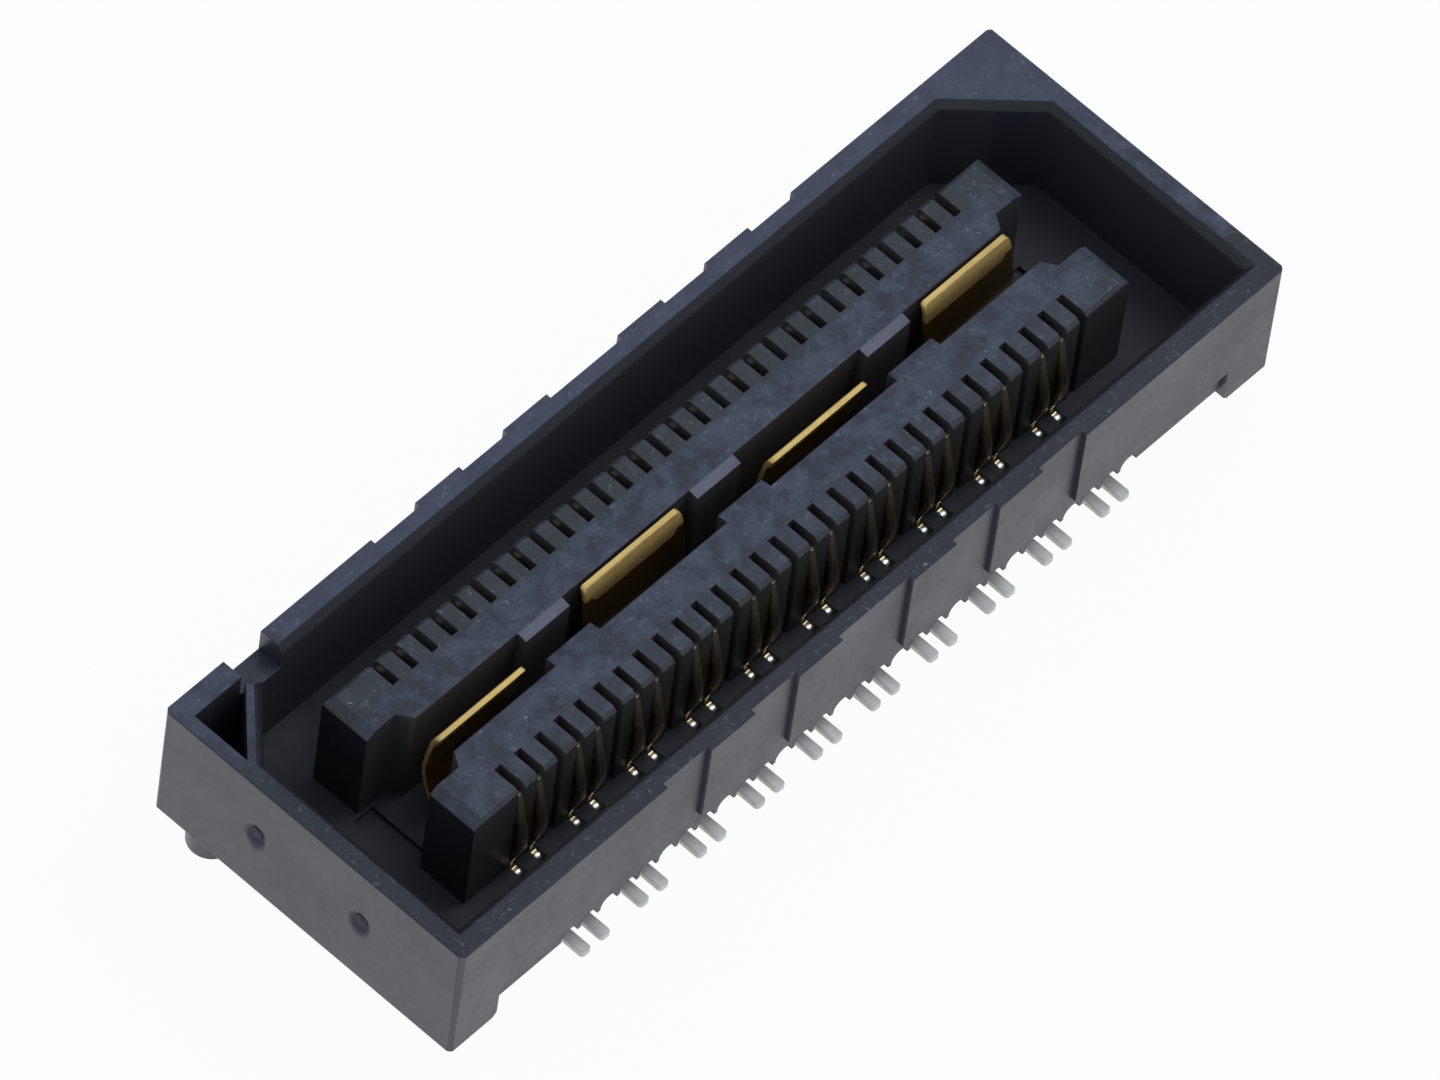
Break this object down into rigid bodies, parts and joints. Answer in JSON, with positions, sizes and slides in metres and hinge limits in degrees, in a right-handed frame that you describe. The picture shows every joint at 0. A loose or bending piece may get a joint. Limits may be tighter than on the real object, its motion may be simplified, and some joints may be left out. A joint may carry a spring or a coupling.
{
  "type": "board to board connector",
  "caption": "Shrouded surface-mount socket strip with rows of spring contacts in slotted ridges, ground blades between them and locating pegs, joining one circuit board to another.",
  "frame": {"origin": "middle of the body on the surface of the board it is soldered to", "axes": "+X along the rows, away from the cored corner; +Y towards the keyed long wall; +Z away from the board, out of the mating face"},
  "size_m": [0.0212, 0.0074, 0.004],
  "materials": {
    "housing": "black glass-filled moulding, slightly mottled",
    "contact": "gold plated beam, matte tin tail",
    "blade": "gold plated, tin at the root"
  },
  "bodies": {
    "root": {"housing": "housing", "front_contact_01": "contact", "front_contact_02": "contact", "front_contact_03": "contact", "front_contact_04": "contact", "front_contact_05": "contact", "front_contact_06": "contact", "front_contact_07": "contact", "front_contact_08": "contact", "front_contact_09": "contact", "front_contact_10": "contact", "front_contact_11": "contact", "front_contact_12": "contact", "front_contact_13": "contact", "front_contact_14": "contact", "front_contact_15": "contact", "front_contact_16": "contact", "front_contact_17": "contact", "front_contact_18": "contact", "front_contact_19": "contact", "front_contact_20": "contact", "rear_contact_01": "contact", "rear_contact_02": "contact", "rear_contact_03": "contact", "rear_contact_04": "contact", "rear_contact_05": "contact", "rear_contact_06": "contact", "rear_contact_07": "contact", "rear_contact_08": "contact", "rear_contact_09": "contact", "rear_contact_10": "contact", "rear_contact_11": "contact", "rear_contact_12": "contact", "rear_contact_13": "contact", "rear_contact_14": "contact", "rear_contact_15": "contact", "rear_contact_16": "contact", "rear_contact_17": "contact", "rear_contact_18": "contact", "rear_contact_19": "contact", "rear_contact_20": "contact", "ground_blade_01": "blade", "ground_blade_02": "blade", "ground_blade_03": "blade", "ground_blade_04": "blade"}
  },
  "joints": []
}
